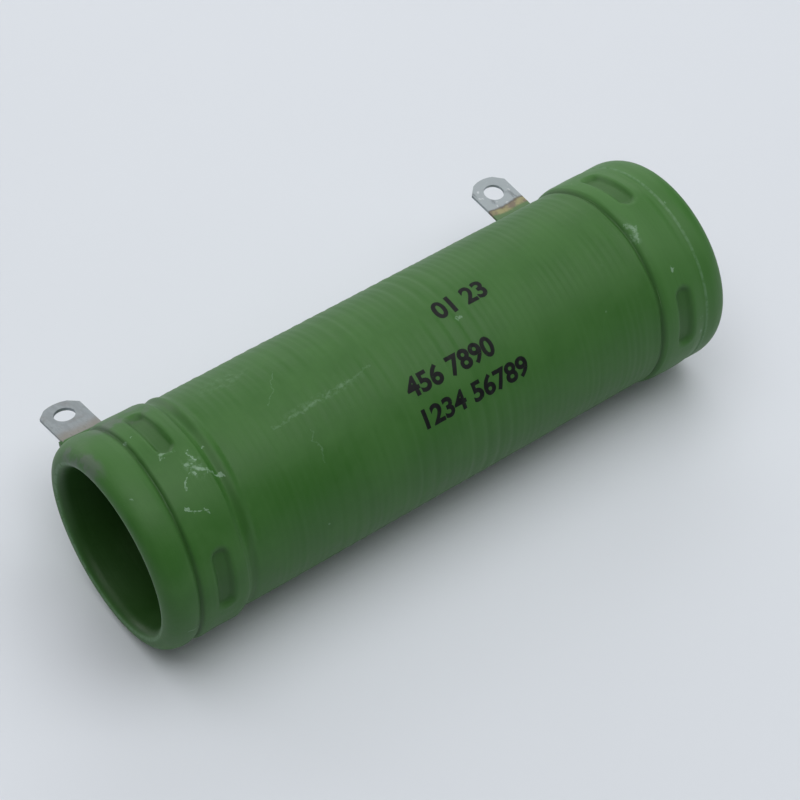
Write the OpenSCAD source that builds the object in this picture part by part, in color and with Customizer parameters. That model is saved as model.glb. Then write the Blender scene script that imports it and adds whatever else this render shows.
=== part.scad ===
// Tubular wirewound power resistor, vitreous enamelled, with two strip terminals.
// The tube lies along X. Its middle is the origin, the lugs reach towards +Y, and +Z is up.
// Each module draws its piece with the lugs nearly level. Angles round the tube are then measured
// in the YZ plane, from +Y towards +Z. At the end all is rolled until the lower lug rests its tip.

/* [Ceramic tube] */
// Length of the finished resistor over its enamelled ends
overall_len = 90.6; // [80:0.1:110]
// Radius of the ceramic tube under the winding
tube_r = 13.5; // [12.5:0.05:14]
// Thickness of the ceramic wall
ceramic_wall = 1.8; // [1.5:0.1:4]
// Bevel of the ceramic's bore at each end
bore_bevel = 0.6; // [0.2:0.1:0.8]
// Length of the low collar that stops each band from sliding off
collar_len = 3.4; // [2:0.1:3.5]
// Height of the collar above the tube
collar_h = 0.65; // [0.3:0.05:0.9]
// Rounding of the collar's outer edge
collar_edge = 0.8; // [0.3:0.1:1.2]

/* [Winding] */
// Diameter of the resistance wire
wire_d = 0.3; // [0.15:0.05:0.4]
// Distance from one turn to the next
turn_pitch = 1.05; // [0.7:0.05:2]
// Bare length of tube between the last turn and the band beside it
winding_gap = 1.2; // [0.8:0.1:3]

/* [Terminal bands] */
// Width of the terminal strip round the tube
strip_w = 7; // [6.8:0.1:7.6]
// Thickness of the terminal strip
strip_t = 0.45; // [0.3:0.05:0.6]
// Gap between the strip and the ceramic
strip_gap = 0.2; // [0.18:0.01:0.3]
// Inside radius of the fold where the strip turns outwards
fold_r = 0.5; // [0.3:0.1:1]
// Distance from the left end of the enamel to the middle of the left band
left_band_in = 8.55; // [8.2:0.05:12]
// Distance from the right end of the enamel to the middle of the right band
right_band_in = 8.25; // [8.2:0.05:12]
// Turn of the left band about the upright, as it was wrapped by hand
left_yaw = -1.3; // [-2:0.1:2]
// Tip of the left band about the crosswise axis
left_tip = 2.2; // [-2:0.1:2.4]
// Turn of the right band about the upright
right_yaw = 1.6; // [-2:0.1:2]
// Tip of the right band about the crosswise axis
right_tip = 2.1; // [-2:0.1:2.4]
// Place round the tube where the left strip turns outwards
left_root_a = -2.1; // [-20:0.1:15]
// Place round the tube where the right strip turns outwards
right_root_a = -14.8; // [-20:0.1:15]
// Direction in which the left lug points
left_lug_a = -11.4; // [-20:0.1:10]
// Direction in which the right lug points
right_lug_a = 5.6; // [-20:0.1:10]

/* [Lugs] */
// Width of the lug
lug_w = 6.1; // [5:0.05:6.15]
// Shift of the left lug along the tube from the middle of its strip
left_lug_shift = -0.3; // [-0.4:0.05:0.4]
// Shift of the right lug along the tube from the middle of its strip
right_lug_shift = -0.4; // [-0.4:0.05:0.4]
// Distance from the fold to the middle of the lug's hole
lug_hole_out = 10.25; // [8:0.05:14]
// Diameter of the hole in the lug
lug_hole_d = 3; // [2:0.1:4]
// Length of lug beyond the middle of its hole
lug_nose = 2.95; // [2.5:0.05:4]
// Length of the lug's straight sides beyond the middle of its hole
lug_side = 1.3; // [0.8:0.05:1.6]
// Radius of the arc across the end of the lug
lug_tip_r = 4.3; // [3.5:0.1:8]
// Height of the strip's short end, which is welded flat against the lug
short_end_h = 2.6; // [1.5:0.1:4]
// Length of full width strip beyond the short end, before the lug narrows
lug_shoulder = 0.6; // [0.2:0.1:1]

/* [Slots in the strip] */
// Number of slots stamped in each strip
slot_n = 3; // [1:1:3]
// Length of a slot round the band
slot_len = 9.5; // [6:0.1:11]
// Width of a slot
slot_w = 2.5; // [1.5:0.1:3.5]
// Angle between neighbouring slots
slot_pitch_a = 89.5; // [80:0.5:92]
// Place round the tube of the middle of the left band's first slot
left_slot_a = 79.5; // [60:0.5:90]
// Place round the tube of the middle of the right band's first slot
right_slot_a = 77.5; // [60:0.5:90]

/* [Enamel] */
// Thickness of enamel over the turns of wire
coat_t = 0.47; // [0.3:0.01:0.7]
// Thickness of enamel over the terminal bands
band_coat_t = 0.7; // [0.4:0.01:0.9]
// Thickness of enamel in the bore
bore_coat_t = 0.25; // [0.15:0.05:0.5]
// Thickness of enamel over each end of the tube
end_coat_t = 0.5; // [0.2:0.05:0.8]
// Enamel beyond each edge of the strip
band_over = 0.15; // [0.1:0.05:0.4]
// Rounding of the enamel along the edges of the bands
band_edge = 0.25; // [0.1:0.05:0.3]
// Height of the enamelled ring at each end above the ceramic tube
end_ring_h = 1.3; // [1.1:0.05:2]
// Length over which each end rounds off
end_round_len = 3; // [2:0.1:3.2]
// Depth of that rounding below the ring
end_round_depth = 2.1; // [1.2:0.1:2.2]
// Length of the rounding from each end into the bore
lip_len = 1.6; // [0.6:0.1:1.8]
// Height of the soft ripples that the turns leave on the enamel
ripple_h = 0.06; // [0.02:0.01:0.12]
// Width of the groove between an end ring and its band
groove_w = 1; // [0.6:0.1:1.4]
// Depth of the dents that the slots leave in the enamel
dent_depth = 0.4; // [0.2:0.05:0.6]
// Width of the ridge over the end turns beside the left band
ridge_w = 1.9; // [1.2:0.1:2.4]
// Height of that ridge
ridge_h = 0.3; // [0.1:0.05:0.4]
// Distance from the left band to the middle of that ridge
ridge_off = 2.2; // [1.6:0.1:3]
// Length of enamel that climbs each lug from the band
root_h = 5.6; // [1:0.1:7]
// Thickness of enamel on the root of each lug
root_t = 0.3; // [0.2:0.05:0.5]

/* [Hidden] */
$fn = 96;
half_len = overall_len / 2;
tube_half = half_len - end_coat_t;
ceramic_bore_r = tube_r - ceramic_wall;
left_band_x = half_len - left_band_in;
right_band_x = half_len - right_band_in;
end_ring_r = tube_r + end_ring_h;
nose_r = end_ring_r - end_round_depth;
collar_r = tube_r + collar_h;
bore_r = ceramic_bore_r - bore_coat_t;
strip_in_r = tube_r + strip_gap;
strip_out_r = strip_in_r + strip_t;
band_r = strip_out_r + band_coat_t;
wire_top_r = tube_r + wire_d;
body_r = wire_top_r + coat_t;
wire_web = wire_d / 4;
winding_left = -left_band_x + strip_w / 2 + winding_gap;
winding_right = right_band_x - strip_w / 2 - winding_gap;
turn_n = floor((winding_right - winding_left) / turn_pitch);
band_half = strip_w / 2 + band_over;
fold_mid_r = strip_out_r + fold_r;
lug_hole_r = fold_mid_r + lug_hole_out;
lug_end_r = lug_hole_r + lug_nose;
winding_end = winding_left + turn_n * turn_pitch;
band_n = 84;
band_step = 4;
crest_n = 4;
ridge_n = 6;
edge_n = 5;
round_n = 8;
collar_stop_a = 15;
sink = 1;
far = 3 * half_len;

// One point at an angle on a circle in a profile of x and radius
function arc_point(x, r, size, a) = [x + size * cos(a), r + size * sin(a)];
// Points along an arc in a profile
function arc(x, r, size, from, to, n) = [for (i = [0:n]) arc_point(x, r, size, from + (to - from) * i / n)];
// Points along a flattened arc, of size a along x and b in radius
function oval(x, r, a, b, from, to, n) = [for (i = [0:n])
    [x + a * cos(from + (to - from) * i / n), r + b * sin(from + (to - from) * i / n)]];
// Points of one turn, from its near foot over its crest, lifted from a base radius
function crest(x, base, w, h, n) = [for (i = [0:n - 1]) [x + w * i / n, base + h * (1 - cos(360 * i / n)) / 2]];
// How far the tube's axis lies to one side of a lug's line
function lean_of(root_a, lug_a) = fold_mid_r * sin(lug_a - root_a);

// Turns a section of radius and x into a solid round the X axis
module turned() {
    rotate([0, 90, 0]) rotate([0, 0, 90]) rotate_extrude() children();
}

// Draws an outline of x and radius as a section to be turned
module section(points) {
    polygon([for (p = points) [p[1], p[0]]]);
}

// Draws a section of y and z, and gives it a width along X about its middle
module strip_section(w) {
    rotate([90, 0, 90]) translate([0, 0, -w / 2]) linear_extrude(w) children();
}

// The tube's section, from the bore over one collar, along the tube and over the other
function tube_end(s) = concat(
    [[s * (tube_half - bore_bevel), ceramic_bore_r], [s * tube_half, ceramic_bore_r + bore_bevel]],
    [[s * tube_half, collar_r - collar_edge]],
    [for (p = arc(tube_half - collar_edge, collar_r - collar_edge, collar_edge, collar_stop_a, 90, edge_n))
        [s * p[0], p[1]]],
    [[s * (tube_half - collar_len), collar_r], [s * (tube_half - collar_len), tube_r]]);

tube_line = concat(tube_end(-1), backwards(tube_end(1)));

module ceramic_tube() {
    color("ivory") turned() section(tube_line);
}

// One crest for each turn of wire, lifted by h from a base radius
function crests(base, h) = [for (i = [0:turn_n - 1])
    each crest(winding_left + i * turn_pitch, base, turn_pitch, h, crest_n)];

// The winding's section, one crest for each turn
winding_line = concat(
    [[winding_left, tube_r]],
    crests(tube_r + wire_web, wire_d - wire_web),
    [[winding_end, tube_r + wire_web], [winding_end, tube_r]]);

module resistance_winding() {
    color("silver") turned() section(winding_line);
}

// The strip's section: a band round the tube, with both ends folded out along one line.
// root_a is where the ends leave the band and lug_a is where they point.
// The lug's line is the X axis here, and lean is how far the tube's axis lies to one side of it.
module strip_outline(root_a, lug_a) {
    lean = lean_of(root_a, lug_a);
    reach = strip_t + fold_r;
    turn_up = asin((reach - lean) / fold_mid_r);
    turn_down = asin((reach + lean) / fold_mid_r);
    up_x = fold_mid_r * cos(turn_up);
    down_x = fold_mid_r * cos(turn_down);
    outer = concat(
        [[lug_end_r, 0], [lug_end_r, strip_t]],
        arc(up_x, reach, fold_r, 270, 180 + turn_up, edge_n),
        arc(0, lean, strip_out_r, turn_up + band_step, 360 - turn_down - band_step, band_n),
        arc(down_x, -reach, fold_r, 180 - turn_down, 90, edge_n),
        [[down_x + short_end_h, -strip_t], [down_x + short_end_h, 0]]);
    inner = concat(
        arc(up_x, reach, reach, 270, 180 + turn_up, edge_n),
        arc(0, lean, strip_in_r, turn_up + band_step, 360 - turn_down - band_step, band_n),
        arc(down_x, -reach, reach, 180 - turn_down, 90, edge_n));
    rotate(lug_a) translate([0, -lean]) difference() {
        polygon(outer);
        polygon(inner);
    }
}

module terminal(root_a, lug_a, slot_a, shift) {
    difference() {
        strip_section(strip_w) strip_outline(root_a, lug_a);
        slot_cuts(slot_a, strip_in_r - sink);
        rotate([lug_a, 0, 0]) translate([shift, 0, 0]) lug_trim();
    }
}

// The outline of a slot, with round ends
slot_line = concat(
    arc(slot_len / 2 - slot_w / 2, 0, slot_w / 2, -90, 90, round_n),
    arc(slot_w / 2 - slot_len / 2, 0, slot_w / 2, 90, 270, round_n));

// An oblong cut that runs round the tube, open outwards from radius r
module slot_cut(a, r) {
    rotate([a, 0, 0]) difference() {
        translate([0, r / 2, 0]) rotate([-90, 90, 0]) linear_extrude(r) polygon(slot_line);
        rotate([0, 90, 0]) cylinder(r = r, h = 2 * slot_w, center = true);
    }
}

// All the slots of one band, the first at slot_a round the tube
module slot_cuts(slot_a, r) {
    for (i = [0:slot_n - 1]) slot_cut(slot_a + i * slot_pitch_a, r);
}

// Takes the strip down to the lug's width beyond its root, and shapes the lug's end
module lug_trim() {
    start = fold_mid_r + short_end_h + lug_shoulder;
    for (side = [0, 1]) mirror([side, 0, 0]) {
        translate([lug_w / 2, start, -far / 2]) cube([strip_w, far, far]);
        translate([lug_w / 2, lug_hole_r + lug_side, -far / 2]) rotate([0, 0, 45]) cube([strip_w, far, far]);
    }
    translate([0, lug_hole_r, -far / 2]) cylinder(d = lug_hole_d, h = far);
    difference() {
        translate([-strip_w, lug_hole_r, -far / 2]) cube([2 * strip_w, far, far]);
        translate([0, lug_end_r - lug_tip_r, -far]) cylinder(r = lug_tip_r, h = 2 * far);
    }
}

// Puts what belongs to the left band in its place on the tube
module at_left() {
    translate([-left_band_x, 0, 0]) rotate([0, left_tip, left_yaw]) children();
}

// Puts what belongs to the right band in its place on the tube
module at_right() {
    translate([right_band_x, 0, 0]) rotate([0, right_tip, right_yaw]) children();
}

module left_terminal() {
    color("darkgray") at_left() terminal(left_root_a, left_lug_a, left_slot_a, left_lug_shift);
}

module right_terminal() {
    color("darkgray") at_right() terminal(right_root_a, right_lug_a, right_slot_a, right_lug_shift);
}

// One end of the enamel, from the bore over the nose to the end ring
function end_line(s) = concat(
    [for (p = oval(half_len - lip_len, nose_r, lip_len, nose_r - bore_r, -90, 0, round_n)) [s * p[0], p[1]]],
    [for (p = oval(half_len - end_round_len, nose_r, end_round_len, end_round_depth, 0, 90, round_n))
        if (p[1] > nose_r) [s * p[0], p[1]]]);

// The enamel over one band, raised over the strip and rounded along both edges
module band_form() {
    turned() section(concat(
        [[-band_half, strip_in_r]],
        arc(band_edge - band_half, band_r - band_edge, band_edge, 180, 90, edge_n),
        arc(band_half - band_edge, band_r - band_edge, band_edge, 90, 0, edge_n),
        [[band_half, strip_in_r]]));
}

// The ridge over the end turns, inboard of the left band
function ridge_line(x) = [for (i = [0:ridge_n]) [x - ridge_w / 2 + ridge_w * i / ridge_n,
    body_r + ridge_h * (1 - cos(360 * i / ridge_n)) / 2]];

function backwards(points) = [for (i = [len(points) - 1:-1:0]) points[i]];

module enamel_form() {
    left_ring = -left_band_x - band_half - groove_w;
    right_ring = right_band_x + band_half + groove_w;
    ridge_x = -left_band_x + strip_w / 2 + ridge_off;
    ripples = [for (p = crests(body_r, ripple_h)) if (p[0] > ridge_x + ridge_w / 2) p];
    outline = concat(
        end_line(-1),
        [[left_ring, end_ring_r], [left_ring + groove_w, body_r]],
        ridge_line(ridge_x),
        ripples,
        [[right_ring - groove_w, body_r], [right_ring, end_ring_r]],
        backwards(end_line(1)));
    turned() difference() {
        section(outline);
        section(tube_line);
        section(winding_line);
    }
}

// The enamel that climbs the root of a lug
module root_form(root_a, lug_a) {
    lean = lean_of(root_a, lug_a);
    w = strip_w + 2 * root_t;
    h = 2 * strip_t + 2 * root_t;
    start = sqrt(pow(tube_r + strip_gap / 2, 2) - pow(max(0, abs(lean) - h / 2), 2));
    rotate([lug_a, 0, 0]) translate([-w / 2, start, -lean - h / 2])
        cube([w, fold_mid_r + root_h - start, h]);
}

module enamel_coat() {
    color("olivedrab") difference() {
        union() {
            enamel_form();
            at_left() {
                band_form();
                root_form(left_root_a, left_lug_a);
            }
            at_right() {
                band_form();
                root_form(right_root_a, right_lug_a);
            }
        }
        at_left() {
            terminal(left_root_a, left_lug_a, left_slot_a, left_lug_shift);
            slot_cuts(left_slot_a, band_r - dent_depth);
        }
        at_right() {
            terminal(right_root_a, right_lug_a, right_slot_a, right_lug_shift);
            slot_cuts(right_slot_a, band_r - dent_depth);
        }
    }
}

ceramic_tube();
resistance_winding();
left_terminal();
right_terminal();
enamel_coat();
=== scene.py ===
"""Dresses the tubular wirewound resistor: its enamel, its ink, its metal and the stage."""

import math

import bmesh
import bpy
import numpy as np
from mathutils import Matrix, Vector


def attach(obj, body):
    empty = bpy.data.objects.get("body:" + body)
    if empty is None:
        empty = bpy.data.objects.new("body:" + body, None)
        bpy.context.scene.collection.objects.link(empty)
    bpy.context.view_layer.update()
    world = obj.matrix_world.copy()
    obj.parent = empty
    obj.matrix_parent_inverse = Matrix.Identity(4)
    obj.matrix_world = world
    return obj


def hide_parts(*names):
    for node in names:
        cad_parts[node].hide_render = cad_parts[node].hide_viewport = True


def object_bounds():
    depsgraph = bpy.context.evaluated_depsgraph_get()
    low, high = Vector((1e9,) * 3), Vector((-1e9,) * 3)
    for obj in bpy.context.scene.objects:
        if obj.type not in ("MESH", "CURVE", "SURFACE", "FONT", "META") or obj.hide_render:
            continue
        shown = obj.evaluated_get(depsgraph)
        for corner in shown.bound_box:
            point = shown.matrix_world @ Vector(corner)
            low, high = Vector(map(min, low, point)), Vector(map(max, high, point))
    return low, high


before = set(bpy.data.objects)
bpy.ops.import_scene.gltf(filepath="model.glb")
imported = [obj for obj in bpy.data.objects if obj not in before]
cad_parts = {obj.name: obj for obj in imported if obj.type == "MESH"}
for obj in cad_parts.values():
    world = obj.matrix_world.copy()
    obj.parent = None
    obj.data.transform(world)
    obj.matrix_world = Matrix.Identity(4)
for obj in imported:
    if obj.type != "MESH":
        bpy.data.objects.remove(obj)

bl_info = {
    "name": "Enamelled tubular resistor",
    "version": (1, 0, 0),
    "blender": (4, 5, 0),
    "location": "View3D > Sidebar > Resistor",
    "description": "Enamel coat, printed numerals, metal finishes and stage for a tubular resistor",
    "category": "Object",
}

MM = 0.001
MM_PER_DEGREE = 0.258  # Length of one degree round the enamel
LEFT_MIDDLE = -36.75  # Middle of each terminal band along the tube, in millimetres
RIGHT_MIDDLE = 37.05
CAD_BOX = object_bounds()


def metres(name, text, value, low=0.0, high=0.2):
    """A length property, given in millimetres and kept in metres."""
    return bpy.props.FloatProperty(
        name=name, description=text, default=value * MM, min=low, max=high,
        subtype="DISTANCE", unit="LENGTH", precision=5)


def degrees(name, text, value):
    """An angle property, given in degrees and kept in radians."""
    return bpy.props.FloatProperty(
        name=name, description=text, default=math.radians(value), subtype="ANGLE", unit="ROTATION")


def colour(name, text, value):
    """A colour property in linear light."""
    return bpy.props.FloatVectorProperty(
        name=name, description=text, default=value, size=3, min=0.0, max=1.0, subtype="COLOR")


class ResistorGlazeSettings(bpy.types.PropertyGroup):
    half_length: metres("Half length", "From the middle to each enamelled end", 45.29)
    body_radius: metres("Body radius", "Radius of the enamel over the winding", 14.27)
    ring_radius: metres("Ring radius", "Radius of the ring at each end", 14.8)
    nose_radius: metres("Nose radius", "Radius of the foremost line of each end", 12.7)
    bore_radius: metres("Bore radius", "Radius of the enamelled bore", 11.45)
    end_rounding: metres("End rounding", "Length over which each end rounds off", 3.0)
    lip_length: metres("Lip length", "Length of the rounding into the bore", 1.6)
    left_band: metres("Left band", "Middle of the left band from the middle", LEFT_MIDDLE, low=-0.2)
    right_band: metres("Right band", "Middle of the right band from the middle", RIGHT_MIDDLE, low=-0.2)
    band_width: metres("Band width", "Width of the enamel over each band", 7.3)
    slot_length: metres("Slot length", "Length of each dent round the band", 9.5)
    slot_width: metres("Slot width", "Width of each dent", 2.6)
    dent_depth: metres("Dent depth", "Depth of each dent", 0.60)
    turn_pitch: metres("Turn pitch", "Distance between ripples", 1.05)
    ripple_height: metres("Ripple height", "Height of the ripples", 0.05)
    sides: bpy.props.IntProperty(
        name="Sides", description="Steps round the tube", default=224, min=48, max=360)
    green: colour("Green", "Colour of the enamel", (0.035, 0.125, 0.0197))


class ResistorInkSettings(bpy.types.PropertyGroup):
    height: metres("Height", "Height of the numerals", 2.5)
    tint: colour("Ink", "Colour of the printed numerals", (0.004, 0.005, 0.005))


class ResistorMetalSettings(bpy.types.PropertyGroup):
    grey: colour("Grey", "Colour of the bare strip", (0.275, 0.308, 0.325))
    tint_from: metres("Tint from", "Distance from the axis where the heat tint starts", 21.5)
    tint_to: metres("Tint to", "Distance from the axis where the heat tint ends", 22.6)


class ResistorStageSettings(bpy.types.PropertyGroup):
    azimuth: degrees("Azimuth", "Camera's heading round the resistor", -36.574)
    elevation: degrees("Elevation", "Camera's height angle", 47.427)
    distance: metres("Distance", "Camera's distance from the middle of the tube", 326.54, high=2.0)
    focal: bpy.props.FloatProperty(
        name="Focal length", description="Focal length in picture widths", default=3.08516, min=0.5)
    aim_right: metres("Aim right", "Middle of the tube, right of the picture's middle", -0.22, low=-0.1)
    aim_up: metres("Aim up", "Middle of the tube, above the picture's middle", 0.811, low=-0.1)
    floor: colour("Floor", "Colour of the floor", (0.70, 0.735, 0.785))


# Relief of the enamel. All of it works in millimetres. An angle runs from the top towards the lugs.

def smooth(t):
    """A soft step from 0 to 1."""
    t = np.clip(t, 0.0, 1.0)
    return t * t * (3.0 - 2.0 * t)


def bump(t):
    """A soft hill that is 1 at 0 and reaches 0 at 1 on each side."""
    return smooth(1.0 - np.abs(t))


def waves(x, angle, seed, count, shortest, longest, most_round):
    """Random waves that join up round the tube, with a size of about 1."""
    draw = np.random.RandomState(seed)
    total = np.zeros_like(x)
    for _ in range(count):
        length = draw.uniform(shortest, longest)
        turns = draw.randint(-most_round, most_round + 1)
        total += np.cos(2 * np.pi * x / length + turns * angle + draw.uniform(0, 2 * np.pi))
    return total * math.sqrt(2.0 / count)


class Band:
    """Where one terminal band lies under the enamel, and where its slots are."""

    SLOTS = 3
    SLOT_SPACING = 89.5

    def __init__(self, middle, lean_y, lean_z, first_slot):
        self.middle = middle
        self.lean_y = lean_y
        self.lean_z = lean_z
        self.slots = [math.radians(first_slot - i * self.SLOT_SPACING) for i in range(self.SLOTS)]

    def along(self, x, angle, radius):
        """Distance along the tube from the band's own middle line."""
        lean = self.lean_y * np.sin(angle) + self.lean_z * np.cos(angle)
        return x - self.middle - radius * lean


class Relief:
    """The radius of the enamel's outer skin at a place along and round the tube."""

    BAND_RISE = 0.56
    CREST_COUNT = 200
    CREST_SHIFT = 60.0  # Keeps the number of every turn above 0
    RIPPLES_FROM = -30.4
    RIPPLES_TO = 32.3
    RIDGE_HEIGHT = 0.27
    RIDGE_HALF = 0.95
    RIDGE_PLACE = -30.85  # Along the tube, once it has left the band
    RIDGE_START = -80.0  # Round the tube, in degrees
    RIDGE_STOP = 175.0
    RIGHT_RING_FROM = 4.0  # From the right band's middle line
    RIGHT_RING_RISE = 0.50
    # Height over the body against the distance from a band's middle line, from its outer side in
    LEFT_BAND = (
        (-3.65, 0.0), (-3.45, 0.30), (-3.1, 0.48), (-2.5, 0.55), (0.0, 0.56), (2.5, 0.55),
        (3.1, 0.45), (3.55, 0.15), (3.95, -0.02), (4.6, -0.06), (5.2, 0.0))
    RIGHT_BAND = (
        (-5.2, 0.0), (-4.6, 0.05), (-4.1, 0.05), (-3.72, -0.20), (-3.5, 0.10), (-3.1, 0.42), (-2.4, 0.54),
        (0.0, 0.57), (1.9, 0.55), (3.0, 0.42), (3.42, 0.38), (3.66, 0.50), (4.0, 0.50))

    def __init__(self, s):
        self.body = s.body_radius / MM
        self.ring = s.ring_radius / MM
        self.nose = s.nose_radius / MM
        self.bore = s.bore_radius / MM
        self.half = s.half_length / MM
        self.end = (s.half_length - s.end_rounding) / MM
        self.lip = s.lip_length / MM
        self.band = self.body + self.BAND_RISE
        self.band_half = s.band_width / MM / 2
        self.slot_half = s.slot_length / MM / 2
        self.slot_r = s.slot_width / MM / 2
        self.dent = s.dent_depth / MM
        self.pitch = s.turn_pitch / MM
        self.ripple = s.ripple_height / MM
        self.left = Band(s.left_band / MM, 0.022, 0.039, 10.5)
        self.right = Band(s.right_band / MM, -0.027, 0.037, 12.5)
        draw = np.random.RandomState(11)
        self.crests = draw.uniform(0.35, 1.0, self.CREST_COUNT)

    def ripples(self, x, angle):
        """One crest for each turn, each with its own height, and slow swells under them."""
        at = x - 0.25 * np.sin(angle + 0.6) + 0.05 * waves(x, angle, 5, 6, 9, 30, 3)
        phase = at / self.pitch + self.CREST_SHIFT
        turn = np.floor(phase).astype(int) % self.CREST_COUNT
        rise = 0.5 - 0.5 * np.cos(2 * np.pi * phase)
        fine = self.ripple * self.crests[turn] * rise
        slow = 0.018 * waves(at, np.zeros_like(angle), 8, 9, 1.5, 2.6, 0)
        return (fine + slow) * smooth((x - self.RIPPLES_FROM) / 1.2) * smooth(self.RIPPLES_TO - x)

    def ridge(self, x, angle):
        """The lead-in turn, which leaves the left band at the front and runs round beside it."""
        turn = np.degrees(angle)
        line = self.RIDGE_PLACE - 1.75 * np.exp(-np.clip(turn + 72.0, 0, None) / 42.0)
        fade = smooth((turn - self.RIDGE_START) / 22.0) * smooth((self.RIDGE_STOP - turn) / 25.0)
        hill = self.RIDGE_HEIGHT * bump((x - line) / self.RIDGE_HALF)
        ditch = 0.10 * bump((x - line - 1.15) / 0.6) + 0.06 * bump((x - line + 1.2) / 0.7)
        return (hill - ditch) * fade

    def dents(self, band, along, angle):
        """How deep the enamel sinks into the slots of one band."""
        depth = np.zeros_like(along)
        for slot in band.slots:
            turn = (angle - slot + np.pi) % (2 * np.pi) - np.pi
            run = np.maximum(np.abs(turn) * self.band - (self.slot_half - self.slot_r), 0.0)
            edge = np.sqrt(run ** 2 + along ** 2) - self.slot_r
            depth = depth + self.dent * smooth(0.5 - (edge + 0.20) / 0.56)
            depth = depth - 0.035 * bump((edge - 0.35) / 0.5)
        return depth

    def over_band(self, band, x, angle, table, seed):
        """Height of the enamel over one band, with its dents. seed is added to its waves' seeds."""
        along = band.along(x, angle, self.band)
        ragged = 0.05 * waves(np.zeros_like(x), angle, 21 + seed, 7, 5, 6, 14)
        places, heights = zip(*table)
        at = along + ragged * smooth((np.abs(along) - 1.5) / 1.5) * np.sign(along)
        height = steps(at, places, heights)
        swell = waves(x, angle, 31 + seed, 8, 4, 14, 9)
        height = height + 0.03 * smooth((3.4 - np.abs(along)) / 0.8) * swell
        return along, height - self.dents(band, along, angle)

    def crease_shade(self, x, angle):
        """How far a place lies in a slot or a crease, from 0 to 1. The enamel is painted darker there, as
        painted shade.
        """
        left = self.left.along(x, angle, self.band)
        right = self.right.along(x, angle, self.band)
        sunk = (self.dents(self.left, left, angle) + self.dents(self.right, right, angle)) / self.dent
        creases = bump((left + 3.62) / 0.62) + bump((right + 3.78) / 0.60)
        return np.clip(0.75 * np.clip(sunk, 0.0, 1.0) + creases + 0.5 * bump((left - 4.5) / 0.9), 0.0, 1.0)

    def radius(self, x, angle):
        """Radius of the skin between the roundings of the two ends."""
        skin = self.body + self.ripples(x, angle) + self.ridge(x, angle)
        left_along, left_height = self.over_band(self.left, x, angle, self.LEFT_BAND, 1)
        right_along, right_height = self.over_band(self.right, x, angle, self.RIGHT_BAND, 0)
        crease = x - (left_along + self.band_half)
        share = np.clip((x + self.end) / (crease + self.end), 0.0, 1.0)
        left_ring = self.body - 0.02 + (self.ring - self.body) * (1 - share ** 2.2) ** 0.62
        skin = np.where(left_along < -self.band_half, left_ring, skin + left_height)
        fall = np.clip((right_along - self.RIGHT_RING_FROM) / 1.9, 0.0, 1.0)
        right_ring = self.body + self.RIGHT_RING_RISE + 0.03 * fall
        skin = skin + np.where(left_along > 8.0, right_height, 0.0)
        skin = np.where(right_along > self.RIGHT_RING_FROM, right_ring, skin)
        return skin + 0.012 * waves(x, angle, 41, 12, 7, 40, 6)


def steps(value, places, heights):
    """A chain of soft steps through the given heights at the given places."""
    which = np.clip(np.searchsorted(places, value) - 1, 0, len(places) - 2)
    places = np.array(places)
    heights = np.array(heights)
    share = np.clip((value - places[which]) / (places[which + 1] - places[which]), 0.0, 1.0)
    share = 0.5 * share + 0.5 * smooth(share)
    return heights[which] + (heights[which + 1] - heights[which]) * share


LIP_STEPS = 9
ROUNDING_STEPS = 14
BORE_PLACES = (0.0, 22.0, 36.0, 41.0, 43.0)
CREASES = ((-41.3, -39.2), (-33.9, -32.3), (32.4, 34.4), (39.8, 41.5))
CREASE_STEP = 0.125
PLAIN_STEP = 0.262


def end_profile(relief):
    """Points of one end, from the bore over the nose to the ring, as x from the end and radius."""
    points = []
    for i in range(LIP_STEPS + 1):
        t = math.radians(90.0 * i / LIP_STEPS)
        radius = relief.nose - (relief.nose - relief.bore) * math.cos(t)
        points.append((relief.lip * (1 - math.sin(t)), radius))
    rounding = relief.half - relief.end
    for i in range(1, ROUNDING_STEPS + 1):
        t = math.radians(90.0 * i / ROUNDING_STEPS)
        radius = relief.nose + (relief.ring - relief.nose) * math.sin(t)
        points.append((rounding * (1 - math.cos(t)), radius))
    return points


def glaze_profile(relief):
    """The closed section of the enamel coat, with its points close together where it has creases."""
    left = end_profile(relief)
    points = [(-x, relief.bore) for x in BORE_PLACES]
    points += [(x - relief.half, r) for x, r in left[:-1]]
    x = -relief.end
    while x < relief.end - 0.05:
        points.append((x, relief.ring))
        creased = any(low < x < high for low, high in CREASES)
        x += CREASE_STEP if creased else PLAIN_STEP
    points.append((relief.end, relief.ring))
    points += [(relief.half - x, r) for x, r in reversed(left[:-1])]
    points += [(x, relief.bore) for x in reversed(BORE_PLACES[1:])]
    return points


def finish_mesh(name, bm, material):
    """Makes an object of a bmesh, with smooth shading, normals outwards and one material."""
    bmesh.ops.recalc_face_normals(bm, faces=bm.faces)
    mesh = bpy.data.meshes.new(name)
    bm.to_mesh(mesh)
    bm.free()
    mesh.shade_smooth()
    mesh.materials.append(material)
    piece = bpy.data.objects.new(name, mesh)
    bpy.context.scene.collection.objects.link(piece)
    return piece


def spin_profile(points, sides):
    """Turns a closed section round the X axis, in millimetres."""
    bm = bmesh.new()
    verts = [bm.verts.new((x, 0.0, r)) for x, r in points]
    edges = [bm.edges.new((verts[i], verts[(i + 1) % len(verts)])) for i in range(len(verts))]
    bmesh.ops.spin(
        bm, geom=verts + edges, cent=(0, 0, 0), axis=(1, 0, 0), dvec=(0, 0, 0),
        angle=2 * math.pi, steps=sides, use_merge=True, use_duplicate=False)
    return bm


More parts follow.
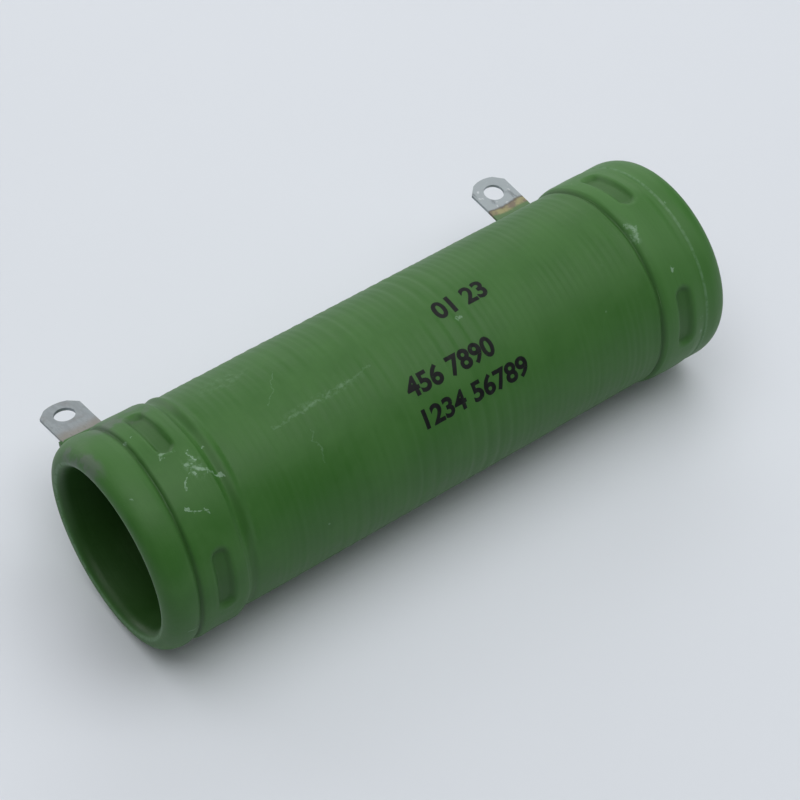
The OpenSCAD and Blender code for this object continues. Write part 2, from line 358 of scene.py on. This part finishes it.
def lift_skin(bm, relief):
    """Moves the outer skin to the relief's radius, and gives the ends a slight unevenness."""
    place = np.array([v.co[:] for v in bm.verts])
    x = place[:, 0]
    angle = np.arctan2(place[:, 1], place[:, 2])
    radius = np.hypot(place[:, 1], place[:, 2])
    inside = np.clip(x, -relief.end, relief.end)
    skin = relief.radius(inside, angle)
    outer = (np.abs(x) < relief.end + 1e-4) & (radius > relief.body - 1.5)
    share = np.clip((radius - relief.nose) / (relief.ring - relief.nose), 0.0, 1.0)
    swell = np.clip(waves(np.zeros_like(x), angle, 51, 9, 20, 40, 5), 0.0, None)
    uneven = (0.02 + 0.05 * swell) * np.sin(np.pi * share)
    radius = np.where(outer, skin, radius + (skin - relief.ring) * share + uneven * (np.abs(x) > relief.end))
    # Stores for each place how far it lies in a slot or crease, for the painted shade there
    layer = bm.verts.layers.float.new("crease_shade")
    crease_shade = np.where(outer, relief.crease_shade(x, angle), 0.0)
    for v, x0, r, a, h in zip(bm.verts, x, radius, angle, crease_shade):
        v.co = (x0 * MM, r * math.sin(a) * MM, r * math.cos(a) * MM)
        v[layer] = h


class Lug:
    """The frame of one lug: along it, across it and through its thickness."""

    FOLD_RADIUS = 14.65

    def __init__(self, middle, tip, yaw, root, heading):
        lean = self.FOLD_RADIUS * math.sin(math.radians(heading - root))
        turn = Matrix.Rotation(math.radians(yaw), 4, "Z") @ Matrix.Rotation(math.radians(tip), 4, "Y")
        self.place = (
            Matrix.Translation((middle, 0, 0)) @ turn
            @ Matrix.Rotation(math.radians(heading), 4, "X") @ Matrix.Translation((0, 0, -lean)))


LUGS = {
    "left": Lug(LEFT_MIDDLE, 2.2, -1.3, -2.1, -11.4),
    "right": Lug(RIGHT_MIDDLE, 2.1, 1.6, -14.8, 5.6),
}
ROOT_FOOT = 12.9
FLARE_FROM = 14.4
FLARE_LENGTH = 0.8


def root_glaze(lug, reach, wide, thick):
    """The enamel that climbs the root of a lug: a rounded sleeve that flares at its foot."""
    bm = bmesh.new()
    bmesh.ops.create_cube(bm, size=1.0)
    bmesh.ops.scale(bm, vec=(wide, reach - ROOT_FOOT, thick), verts=bm.verts)
    bmesh.ops.translate(bm, vec=(0, (reach + ROOT_FOOT) / 2, 0), verts=bm.verts)
    bmesh.ops.subdivide_edges(bm, edges=bm.edges, cuts=9, use_grid_fill=True)
    half_wide = wide / 2
    half_thick = thick / 2
    for v in bm.verts:
        x, y, z = v.co
        over = min(1.0, max(0.0, (y - (reach - half_thick)) / half_thick))
        side = min(1.0, max(0.0, (abs(x) - (half_wide - half_thick)) / half_thick))
        shrink = math.sqrt(max(0.0, 1 - min(1.0, over ** 2 + side ** 2) * 0.75))
        flare = math.exp(-max(0.0, y - FLARE_FROM) / FLARE_LENGTH)
        z = z * (shrink + 0.55 * flare / half_thick)
        x = x * (1 + 0.12 * flare / half_wide)
        v.co = lug.place @ Vector((x, y, z)) * MM
    return bm


def join_into(bm, other):
    """Adds another bmesh to this one."""
    passing = bpy.data.meshes.new("passing")
    other.to_mesh(passing)
    other.free()
    bm.from_mesh(passing)
    bpy.data.meshes.remove(passing)


# Materials. Colours are in linear light.

SMOKE = (0.105, 0.125, 0.110, 1.0)
# Pale colour for scuffs, rubs and dust, and also for the painted highlights along the right ring and the
# bore's lip
PALE_WEAR_AND_HIGHLIGHT = (0.24, 0.38, 0.26, 1.0)
STAIN = (0.19, 0.175, 0.165, 1.0)
SOLDER = (0.66, 0.68, 0.70, 1.0)
HEAT_BROWN = (0.165, 0.115, 0.060, 1.0)
HEAT_STRAW = (0.30, 0.27, 0.10, 1.0)
BURNT = (0.09, 0.075, 0.06, 1.0)
GREEN_FILM = (0.085, 0.17, 0.062, 1.0)
WARM_ROOT = (0.20, 0.16, 0.11, 1.0)
WORN_INK = (0.014, 0.032, 0.012, 1.0)


class Nodes:
    """A short hand for laying out a material's nodes."""

    def __init__(self, name):
        self.material = bpy.data.materials.new(name)
        self.material.use_nodes = True
        self.tree = self.material.node_tree
        self.shader = self.tree.nodes["Principled BSDF"]

    def add(self, kind, inputs=None, **settings):
        node = self.tree.nodes.new(kind)
        for key, value in settings.items():
            setattr(node, key, value)
        for key, value in (inputs or {}).items():
            self.feed(node.inputs[key], value)
        return node

    def feed(self, socket, value):
        if isinstance(value, bpy.types.NodeSocket):
            self.tree.links.new(value, socket)
        else:
            socket.default_value = value

    def math(self, operation, a, b=0.0, clamp=False):
        node = self.add("ShaderNodeMath", {0: a, 1: b}, operation=operation)
        node.use_clamp = clamp
        return node.outputs[0]

    def mix(self, amount, a, b):
        node = self.tree.nodes.new("ShaderNodeMix")
        node.data_type = "RGBA"
        self.feed(node.inputs["Factor"], amount)
        self.feed(node.inputs[6], a)
        self.feed(node.inputs[7], b)
        return node.outputs[2]

    def ramp(self, value, low, high):
        """A soft step of a value from low to high."""
        node = self.add("ShaderNodeMapRange", {"Value": value, "From Min": low, "From Max": high},
                        interpolation_type="SMOOTHSTEP")
        return node.outputs["Result"]

    def noise(self, scale, detail=3.0, rough=0.55, stretch=(1, 1, 1)):
        moved = self.add("ShaderNodeMapping", {"Vector": self.place(), "Scale": stretch})
        node = self.add("ShaderNodeTexNoise", {
            "Vector": moved.outputs[0], "Scale": scale, "Detail": detail, "Roughness": rough})
        return node.outputs["Fac"]

    def place(self):
        return self.add("ShaderNodeTexCoord").outputs["Object"]

    def bump(self, height, distance, strength, normal=None):
        node = self.add("ShaderNodeBump", {"Height": height, "Distance": distance, "Strength": strength})
        if normal is not None:
            self.feed(node.inputs["Normal"], normal)
        return node.outputs[0]


def rgba(value):
    return (*value, 1.0)


def shade(value, factor):
    """A colour made lighter or darker by a factor."""
    return rgba([c * factor for c in value])


def tube_place(n):
    """Place on the unrolled tube: along it and round it, in millimetres and degrees, and the radius."""
    split = n.add("ShaderNodeSeparateXYZ", {0: n.place()})
    x, y, z = split.outputs
    angle = n.math("MULTIPLY", n.math("ARCTAN2", y, z), 180 / math.pi)
    radius = n.math("SQRT", n.math("ADD", n.math("MULTIPLY", y, y), n.math("MULTIPLY", z, z)))
    return n.math("MULTIPLY", x, 1 / MM), angle, n.math("MULTIPLY", radius, 1 / MM)


def right_band_along(n, s, x):
    """Distance along the tube from the right band's leaning middle line, in millimetres."""
    band = Relief(s).right
    _, y, z = n.add("ShaderNodeSeparateXYZ", {0: n.place()}).outputs
    lean = n.math("ADD", n.math("MULTIPLY", y, band.lean_y / MM), n.math("MULTIPLY", z, band.lean_z / MM))
    return n.math("SUBTRACT", n.math("SUBTRACT", x, band.middle), lean)


def spot(n, x, angle, at_x, at_angle, wide, tall):
    """A soft blot on the unrolled tube that is 1 at its middle. wide and tall are in millimetres."""
    dx = n.math("MULTIPLY", n.math("SUBTRACT", x, at_x), 1 / wide)
    dy = n.math("MULTIPLY", n.math("SUBTRACT", angle, at_angle), MM_PER_DEGREE / tall)
    far = n.math("SQRT", n.math("ADD", n.math("MULTIPLY", dx, dx), n.math("MULTIPLY", dy, dy)))
    return n.ramp(far, 1.0, 0.35)


# Scuffs on the enamel: where each line starts and ends, along the tube and round it in degrees,
# its half width and its strength
SCUFFS = (
    ((-35.3, -18.0), (-34.6, -22.5), 0.42, 0.60), ((-34.6, -22.5), (-33.0, -25.5), 0.30, 0.65),
    ((-34.5, -13.5), (-33.9, -16.5), 0.20, 0.85), ((-33.0, -27.5), (-31.7, -31.5), 0.17, 0.75),
    ((-37.6, -8.7), (-36.6, -7.6), 0.20, 0.55), ((-36.6, -7.6), (-35.4, -9.4), 0.15, 0.50),
    ((-37.1, -27.5), (-36.4, -24.0), 0.22, 0.65), ((-38.3, -36.0), (-36.0, -43.0), 0.12, 0.70),
    ((-35.8, -21.5), (-35.2, -24.0), 0.14, 0.65), ((-32.5, -13.0), (-32.3, -12.6), 0.22, 0.85),
    ((34.4, -26.0), (35.0, -20.0), 0.42, 0.42), ((35.0, -19.0), (34.5, -15.0), 0.30, 0.50),
    ((37.1, -47.5), (37.2, -46.4), 0.20, 0.70), ((-23.0, -22.0), (-16.0, -20.0), 0.26, 0.17),
    ((-15.0, -19.8), (-7.5, -17.2), 0.20, 0.14), ((6.2, -17.3), (6.8, -16.6), 0.28, 0.60),
    ((-22.0, -10.0), (-18.0, 8.0), 0.10, 0.20), ((-19.3, -50.0), (-19.3, -31.0), 0.09, 0.18),
    ((-39.9, 10.0), (-39.8, 10.6), 0.20, 0.75), ((-38.6, 11.0), (-38.5, 11.5), 0.15, 0.65),
    ((-43.6, -20.0), (-43.4, -20.8), 0.20, 0.55), ((41.8, -14.0), (41.8, -13.2), 0.16, 0.60),
    ((-42.8, -101.0), (-41.2, -103.0), 0.16, 0.50),
)
# Faint rubs: place along the tube and round it in degrees, width, height, strength
RUBS = (
    (34.7, -21.0, 0.9, 2.4, 0.35), (-34.6, -20.0, 1.6, 2.6, 0.30), (-15.0, -19.5, 8.0, 0.9, 0.18),
    (40.1, -92.0, 0.5, 0.5, 0.5), (40.2, -82.0, 0.4, 0.3, 0.5), (-24.0, 20.0, 5.0, 2.2, 0.14),
)
# Smoky patches: place along the tube and round it in degrees, width, height
SMOKE_PATCHES = ((-37.0, 33.0, 6.0, 3.4), (-44.6, 12.0, 1.4, 4.5), (-45.2, 30.0, 1.6, 5.0))
RIM_HIGHLIGHT_LINE = 3.62  # From the right band's middle line to the pale line painted as a highlight along the ring's edge


def stroke(n, flat, start, end, half_wide):
    """A thin line on the unrolled tube that is 1 along its middle.

    Each end has its place along the tube in millimetres and round it in degrees.
    """
    first = Vector((start[0], start[1] * MM_PER_DEGREE, 0.0))
    run = Vector((end[0], end[1] * MM_PER_DEGREE, 0.0)) - first
    from_first = n.add("ShaderNodeVectorMath", {0: flat, 1: first}, operation="SUBTRACT").outputs[0]
    share = n.add(
        "ShaderNodeVectorMath", {0: from_first, 1: run / max(run.length_squared, 1e-6)},
        operation="DOT_PRODUCT").outputs["Value"]
    inside = n.math("ADD", share, clamp=True)
    foot = n.add("ShaderNodeVectorMath", {0: run, "Scale": inside}, operation="SCALE")
    far = n.add("ShaderNodeVectorMath", {0: from_first, 1: foot.outputs[0]}, operation="DISTANCE")
    return n.ramp(far.outputs["Value"], half_wide, half_wide * 0.45)


def wavering(n, x, angle):
    """The unrolled place, pushed about a little, so that lines drawn on it waver."""
    push = n.add("ShaderNodeTexNoise", {
        "Vector": n.place(), "Scale": 620.0, "Detail": 3.0, "Roughness": 0.6})
    round_tube = n.math("MULTIPLY", angle, MM_PER_DEGREE)
    flat = n.add("ShaderNodeCombineXYZ", {0: x, 1: round_tube, 2: 0.0}).outputs[0]
    offset = n.add(
        "ShaderNodeVectorMath", {0: push.outputs["Color"], 1: (0.5, 0.5, 0.5)}, operation="SUBTRACT")
    offset = n.add(
        "ShaderNodeVectorMath", {0: offset.outputs[0], 1: (2.4, 2.4, 0.0)}, operation="MULTIPLY").outputs[0]
    return n.add("ShaderNodeVectorMath", {0: flat, 1: offset}, operation="ADD").outputs[0]


def glaze_material(s):
    n = Nodes("vitreous_enamel")
    x, angle, radius = tube_place(n)
    green = tuple(s.green)
    pale = tuple(min(1.0, c * f + 0.004) for c, f in zip(green, (1.12, 1.07, 1.14)))
    deep = tuple(c * f for c, f in zip(green, (0.90, 0.94, 0.88)))
    blotch = n.noise(130.0, 4.0, 0.6)
    cloud = n.noise(38.0, 3.0, 0.55)
    tone = n.mix(n.ramp(blotch, 0.36, 0.66), rgba(deep), rgba(pale))
    tone = n.mix(n.math("MULTIPLY", n.ramp(cloud, 0.4, 0.72), 0.35), tone, rgba(pale))
    milky = rgba([c * 1.35 + 0.016 for c in green])
    tone = n.mix(n.math("MULTIPLY", n.ramp(x, 33.2, 34.2), 0.45), tone, milky)
    rings = n.noise(1.0, 2.0, 0.5, stretch=(1100.0, 26.0, 26.0))
    # Painted shade: darker green where the ripple noise is low, the same noise that bumps the ripples, in
    # their valleys
    tone = n.mix(n.math("MULTIPLY", n.ramp(rings, 0.55, 0.33), 0.22), tone, rgba(deep))
    grain = n.noise(2600.0, 2.0, 0.6)
    tone = n.mix(n.math("MULTIPLY", n.ramp(grain, 0.55, 0.75), 0.10), tone, rgba(pale))
    smoky = n.noise(420.0, 3.0, 0.6)
    for at in SMOKE_PATCHES:
        mask = n.math("MULTIPLY", spot(n, x, angle, *at), n.ramp(smoky, 0.42, 0.62))
        tone = n.mix(n.math("MULTIPLY", mask, 0.62), tone, SMOKE)
    scratchy = n.noise(1500.0, 4.0, 0.7)
    flat = wavering(n, x, angle)
    patchy = n.ramp(scratchy, 0.34, 0.56)
    for start, end, half_wide, most in SCUFFS:
        mask = n.math("MULTIPLY", stroke(n, flat, start, end, half_wide), patchy)
        tone = n.mix(n.math("MULTIPLY", mask, most), tone, PALE_WEAR_AND_HIGHLIGHT)
    # Painted highlight: a thin pale line along the right ring's edge, broken up by noise
    rim_highlight = n.math("ABSOLUTE", n.math("SUBTRACT", right_band_along(n, s, x), RIM_HIGHLIGHT_LINE))
    rim_highlight = n.math("MULTIPLY", n.ramp(rim_highlight, 0.27, 0.06), n.ramp(scratchy, 0.30, 0.62))
    tone = n.mix(n.math("MULTIPLY", rim_highlight, 0.26), tone, PALE_WEAR_AND_HIGHLIGHT)
    for at_x, at_angle, wide, tall, most in RUBS:
        blot = spot(n, x, angle, at_x, at_angle, wide, tall)
        mask = n.math("MULTIPLY", blot, n.ramp(scratchy, 0.44, 0.66))
        tone = n.mix(n.math("MULTIPLY", mask, most), tone, PALE_WEAR_AND_HIGHLIGHT)
    dust = n.add("ShaderNodeTexVoronoi", {"Vector": n.place(), "Scale": 260.0}, feature="F1")
    speck = n.math("MULTIPLY", n.ramp(dust.outputs["Distance"], 0.06, 0.03), n.ramp(smoky, 0.55, 0.6))
    tone = n.mix(n.math("MULTIPLY", speck, 0.30), tone, PALE_WEAR_AND_HIGHLIGHT)
    # Pale line round the bore's lip: partly wear, partly a painted highlight along the lip's edge
    worn = n.math("MULTIPLY", n.ramp(radius, 12.75, 12.45), n.ramp(radius, 12.0, 12.3))
    worn = n.math("MULTIPLY", worn, n.ramp(scratchy, 0.3, 0.6))
    tone = n.mix(n.math("MULTIPLY", worn, 0.30), tone, PALE_WEAR_AND_HIGHLIGHT)
    # Painted shade: the enamel turns darker green in the slots and creases
    crease_shade = n.add("ShaderNodeAttribute", attribute_name="crease_shade").outputs["Fac"]
    tone = n.mix(n.math("MULTIPLY", crease_shade, 0.55), tone, shade(green, 0.42))
    shadowy = n.math("MULTIPLY", n.ramp(radius, 12.2, 11.7), 0.55)
    tone = n.mix(shadowy, tone, shade(green, 0.35))
    n.feed(n.shader.inputs["Base Color"], tone)
    rough = n.add("ShaderNodeMapRange", {"Value": blotch, "From Min": 0.3, "From Max": 0.7,
                                         "To Min": 0.42, "To Max": 0.56}).outputs["Result"]
    n.feed(n.shader.inputs["Roughness"], rough)
    n.shader.inputs["Specular IOR Level"].default_value = 0.30
    ripple = n.bump(rings, 0.00006, 0.7)
    peel = n.bump(n.noise(700.0, 3.0, 0.6), 0.00005, 0.6, ripple)
    n.feed(n.shader.inputs["Normal"], n.bump(grain, 0.000012, 0.6, peel))
    return n.material


def metal_material(s):
    n = Nodes("terminal_strip")
    x, _, radius = tube_place(n)
    grey = tuple(s.grey)
    streak = n.noise(900.0, 4.0, 0.65, stretch=(1.0, 0.3, 1.0))
    stain = n.noise(420.0, 4.0, 0.6)
    tone = n.mix(n.ramp(streak, 0.35, 0.7), shade(grey, 0.82), shade(grey, 1.12))
    tone = n.mix(n.math("MULTIPLY", n.ramp(stain, 0.52, 0.72), 0.35), tone, STAIN)
    right_side = n.ramp(x, -2.0, 2.0)
    tone = n.mix(right_side, tone, shade(grey, 1.24))
    spots = n.ramp(n.noise(900.0, 3.0, 0.6), 0.60, 0.70)
    solder = n.math("MULTIPLY", spots, n.math("MULTIPLY", right_side, 0.7))
    tone = n.mix(solder, tone, SOLDER)
    tone = n.mix(n.math("MULTIPLY", n.ramp(streak, 0.56, 0.68), 0.6), tone, shade(grey, 0.55))
    tint_low = s.tint_from / MM
    tint_high = s.tint_to / MM
    wobble = n.math("MULTIPLY", n.math("SUBTRACT", n.noise(500.0), 0.5), 1.1)
    at = n.math("ADD", radius, wobble)
    tinted = n.math("MULTIPLY", n.ramp(at, tint_high + 0.15, tint_high - 0.15), right_side)
    brown = n.mix(n.ramp(n.noise(650.0, 3.0, 0.6), 0.38, 0.62), HEAT_BROWN, HEAT_STRAW)
    tone = n.mix(n.math("MULTIPLY", tinted, 0.85), tone, brown)
    edge_line = n.math(
        "MULTIPLY", n.ramp(at, tint_high - 0.3, tint_high), n.ramp(at, tint_high + 0.35, tint_high))
    edge_line = n.math("MULTIPLY", edge_line, right_side)
    tone = n.mix(n.math("MULTIPLY", edge_line, 0.7), tone, BURNT)
    film = n.math("MULTIPLY", n.ramp(at, tint_low + 0.25, tint_low - 0.25), right_side)
    tone = n.mix(film, tone, GREEN_FILM)
    warm_root = n.math("MULTIPLY", n.ramp(at, 22.6, 20.6), n.math("SUBTRACT", 1.0, right_side))
    tone = n.mix(n.math("MULTIPLY", warm_root, 0.5), tone, WARM_ROOT)
    n.feed(n.shader.inputs["Base Color"], tone)
    bare = n.math("SUBTRACT", 1.0, n.math("MAXIMUM", film, n.math("MULTIPLY", tinted, 0.5)))
    n.feed(n.shader.inputs["Metallic"], n.math("MULTIPLY", bare, 0.55))
    rough = n.add("ShaderNodeMapRange", {"Value": streak, "From Min": 0.3, "From Max": 0.7,
                                         "To Min": 0.38, "To Max": 0.58}).outputs["Result"]
    n.feed(n.shader.inputs["Roughness"], rough)
    rolled = n.bump(n.noise(1800.0, 2.0, 0.5, stretch=(1.0, 0.12, 1.0)), 0.00001, 0.5)
    n.feed(n.shader.inputs["Normal"], n.bump(stain, 0.00003, 0.5, rolled))
    return n.material


def plain_material(name, light, dark, scale, rough, metallic=0.0):
    """A finish for the pieces under the enamel: two tones, a little bump."""
    n = Nodes(name)
    spread = n.noise(scale, 4.0, 0.6)
    n.feed(n.shader.inputs["Base Color"], n.mix(n.ramp(spread, 0.35, 0.65), rgba(dark), rgba(light)))
    n.shader.inputs["Metallic"].default_value = metallic
    span = n.add("ShaderNodeMapRange", {"Value": spread, "To Min": rough - 0.08, "To Max": rough + 0.08})
    n.feed(n.shader.inputs["Roughness"], span.outputs["Result"])
    n.feed(n.shader.inputs["Normal"], n.bump(n.noise(scale * 4), 0.00002, 0.5))
    return n.material


def ink_material(s):
    n = Nodes("stamp_ink")
    worn = n.noise(1900.0, 4.0, 0.65)
    tone = n.mix(n.ramp(worn, 0.58, 0.72), rgba(s.tint), WORN_INK)
    n.feed(n.shader.inputs["Base Color"], tone)
    rough = n.add("ShaderNodeMapRange", {"Value": worn, "To Min": 0.42, "To Max": 0.62}).outputs["Result"]
    n.feed(n.shader.inputs["Roughness"], rough)
    n.shader.inputs["Specular IOR Level"].default_value = 0.2
    n.feed(n.shader.inputs["Normal"], n.bump(worn, 0.00001, 0.4))
    return n.material


def floor_material(s):
    n = Nodes("paper_floor")
    spread = n.noise(6.0, 4.0, 0.5)
    base = tuple(s.floor)
    light = rgba([min(1.0, c * 1.01) for c in base])
    tone = n.mix(n.ramp(spread, 0.3, 0.7), shade(base, 0.985), light)
    n.feed(n.shader.inputs["Base Color"], tone)
    n.shader.inputs["Roughness"].default_value = 0.75
    n.shader.inputs["Specular IOR Level"].default_value = 0.25
    return n.material


CAP_HEIGHT = 0.69  # Height of a numeral, as a share of the type's size
STROKE_GAIN = 0.034  # How far each stroke is thickened, as a share of the same
LONGEST_EDGE = 0.14
INK_RISE = 0.014


def wrap_numerals(relief, text, at_x, at_angle, height):
    """Lays flat numerals on the enamel, and gives their faces as a bmesh in metres."""
    bpy.ops.object.text_add()
    label = bpy.context.object
    label.data.body = text
    label.data.size = 1.0
    label.data.resolution_u = 6
    label.data.offset = STROKE_GAIN
    bpy.ops.object.convert(target="MESH")
    flat = bpy.context.object
    bm = bmesh.new()
    bm.from_mesh(flat.data)
    bpy.data.objects.remove(flat)
    bmesh.ops.remove_doubles(bm, verts=bm.verts, dist=1e-5)
    scale = height / CAP_HEIGHT
    for _ in range(6):
        long_edges = [e for e in bm.edges if e.calc_length() * scale > LONGEST_EDGE]
        if not long_edges:
            break
        bmesh.ops.subdivide_edges(bm, edges=long_edges, cuts=1)
        bmesh.ops.triangulate(bm, faces=bm.faces)
    x = np.array([at_x + v.co.x * scale for v in bm.verts])
    angle = np.array([math.radians(at_angle) + v.co.y * scale / relief.body for v in bm.verts])
    radius = relief.radius(x, angle) + INK_RISE
    for v, x0, a, r in zip(bm.verts, x, angle, radius):
        v.co = (x0 * MM, r * math.sin(a) * MM, r * math.cos(a) * MM)
    return bm


class RESISTOR_OT_glaze(bpy.types.Operator):
    """Make the enamel coat, with its end rings, bands, dents, ridge and ripples"""

    bl_idname = "resistor.glaze"
    bl_label = "Enamel coat"

    # Each lug, how far out the enamel climbs it, and the sleeve's width and thickness
    ROOTS = (("left", 20.2, 7.55, 1.44), ("right", 20.2, 7.3, 1.16))

    def execute(self, context):
        s = context.scene.resistor_glaze
        relief = Relief(s)
        bm = spin_profile(glaze_profile(relief), s.sides)
        lift_skin(bm, relief)
        for side, reach, wide, thick in self.ROOTS:
            join_into(bm, root_glaze(LUGS[side], reach, wide, thick))
        piece = finish_mesh("enamel_glaze", bm, glaze_material(s))
        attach(piece, "root")
        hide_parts("enamel_coat")
        return {"FINISHED"}


class RESISTOR_OT_ink(bpy.types.Operator):
    """Stamp plain numerals on the enamel in black ink"""

    bl_idname = "resistor.ink"
    bl_label = "Numerals"

    # Each row of numerals, and where it starts along the tube and round it in degrees
    ROWS = (("01 23", 4.3, -12.5), ("456 7890", -5.0, -42.0), ("1234 56789", -5.2, -60.0))

    def execute(self, context):
        relief = Relief(context.scene.resistor_glaze)
        s = context.scene.resistor_ink
        whole = bmesh.new()
        for text, at_x, at_angle in self.ROWS:
            join_into(whole, wrap_numerals(relief, text, at_x, at_angle, s.height / MM))
        piece = finish_mesh("ink_numerals", whole, ink_material(s))
        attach(piece, "root")
        return {"FINISHED"}


class RESISTOR_OT_metal(bpy.types.Operator):
    """Give the terminal strips, the winding and the ceramic tube their finishes"""

    bl_idname = "resistor.metal"
    bl_label = "Metal and ceramic"

    def execute(self, context):
        strip = metal_material(context.scene.resistor_metal)
        wire = plain_material("resistance_alloy", (0.42, 0.41, 0.39), (0.28, 0.27, 0.25), 900.0, 0.4, 0.85)
        fired = plain_material("fired_ceramic", (0.80, 0.76, 0.68), (0.70, 0.66, 0.57), 260.0, 0.7)
        finishes = {
            "left_terminal": strip, "right_terminal": strip,
            "resistance_winding": wire, "ceramic_tube": fired,
        }
        for node, material in finishes.items():
            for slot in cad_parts[node].material_slots:
                slot.material = material
        return {"FINISHED"}


def look_at(azimuth, elevation):
    """The camera's three directions for a heading and a height angle: right, up and back."""
    level = math.cos(elevation)
    back = Vector((math.sin(azimuth) * level, -math.cos(azimuth) * level, math.sin(elevation)))
    right = Vector((0, 0, 1)).cross(back).normalized()
    return right, back.cross(right), back


def soft_light(name, heading, height, wide, tall, power):
    """A flat light at one metre that faces the middle of the tube."""
    _, _, out = look_at(heading, height)
    data = bpy.data.lights.new(name, "AREA")
    data.shape = "RECTANGLE"
    data.size = wide
    data.size_y = tall
    data.energy = power
    light = bpy.data.objects.new(name, data)
    light.location = out
    light.rotation_euler = out.to_track_quat("Z", "Y").to_euler()
    bpy.context.scene.collection.objects.link(light)


class RESISTOR_OT_stage(bpy.types.Operator):
    """Set the floor, the lights and the camera"""

    bl_idname = "resistor.stage"
    bl_label = "Stage"

    SENSOR = 36.0
    FLOOR_REACH = 3.0
    WORLD_TINT = (0.93, 0.96, 1.0, 1.0)
    WORLD_STRENGTH = 0.01
    # Each light's heading from the camera's, its height angle, width, height and power
    LIGHTS = (
        ("top_light", 0, 88, 1.0, 1.0, 5.7), ("front_light", 0, 58, 0.7, 0.7, 1.2),
        ("right_light", 90, 58, 0.7, 0.7, 2.0), ("back_light", 180, 58, 0.7, 0.7, 0.7),
        ("left_light", 270, 58, 0.7, 0.7, 1.0), ("low_right_light", 90, 30, 0.7, 0.6, 0.9),
        ("low_back_light", 180, 30, 0.7, 0.6, 1.9), ("low_back_left_light", 225, 30, 0.7, 0.6, 0.45),
        ("low_front_left_light", 315, 30, 0.7, 0.6, 0.36), ("edge_back_light", 180, 10, 0.7, 0.3, 0.6),
        ("edge_back_left_light", 225, 10, 0.7, 0.3, 1.9),
    )

    def execute(self, context):
        s = context.scene.resistor_stage
        low = CAD_BOX[0][2]
        bm = bmesh.new()
        bmesh.ops.create_grid(bm, x_segments=1, y_segments=1, size=self.FLOOR_REACH)
        bmesh.ops.translate(bm, verts=bm.verts, vec=(0, 0, low))
        floor = finish_mesh("floor", bm, floor_material(s))
        right, up, back = look_at(s.azimuth, s.elevation)
        for name, turn_to, height, wide, tall, power in self.LIGHTS:
            soft_light(name, s.azimuth + math.radians(turn_to), math.radians(height), wide, tall, power)
        world = bpy.data.worlds.new("studio")
        world.use_nodes = True
        background = world.node_tree.nodes["Background"]
        background.inputs["Color"].default_value = self.WORLD_TINT
        background.inputs["Strength"].default_value = self.WORLD_STRENGTH
        context.scene.world = world
        data = bpy.data.cameras.new("camera")
        data.sensor_width = self.SENSOR
        data.lens = s.focal * self.SENSOR
        data.clip_start = 0.01
        camera = bpy.data.objects.new("camera", data)
        camera.location = back * s.distance - right * s.aim_right - up * s.aim_up
        camera.rotation_euler = Matrix((right, up, back)).transposed().to_euler()
        context.scene.collection.objects.link(camera)
        context.scene.camera = camera
        context.scene.view_settings.view_transform = "Standard"
        return {"FINISHED"}


class RESISTOR_PT_panel(bpy.types.Panel):
    """Lists the resistor's pieces and their sizes"""

    bl_idname = "RESISTOR_PT_panel"
    bl_label = "Resistor"
    bl_space_type = "VIEW_3D"
    bl_region_type = "UI"
    bl_category = "Resistor"

    def draw(self, context):
        for group, operator in STEPS:
            box = self.layout.box()
            settings = getattr(context.scene, group)
            for name in settings.__annotations__:
                box.prop(settings, name)
            box.operator(operator)


STEPS = (
    ("resistor_glaze", "resistor.glaze"),
    ("resistor_ink", "resistor.ink"),
    ("resistor_metal", "resistor.metal"),
    ("resistor_stage", "resistor.stage"),
)
GROUPS = {
    "resistor_glaze": ResistorGlazeSettings,
    "resistor_ink": ResistorInkSettings,
    "resistor_metal": ResistorMetalSettings,
    "resistor_stage": ResistorStageSettings,
}
CLASSES = (
    *GROUPS.values(), RESISTOR_OT_glaze, RESISTOR_OT_ink, RESISTOR_OT_metal, RESISTOR_OT_stage,
    RESISTOR_PT_panel,
)


def register():
    for cls in CLASSES:
        bpy.utils.register_class(cls)
    for name, group in GROUPS.items():
        setattr(bpy.types.Scene, name, bpy.props.PointerProperty(type=group))


def unregister():
    for name in GROUPS:
        delattr(bpy.types.Scene, name)
    for cls in reversed(CLASSES):
        bpy.utils.unregister_class(cls)


def main():
    register()
    bpy.ops.resistor.glaze()
    bpy.ops.resistor.ink()
    bpy.ops.resistor.metal()
    bpy.ops.resistor.stage()


if __name__ == "__main__":
    main()
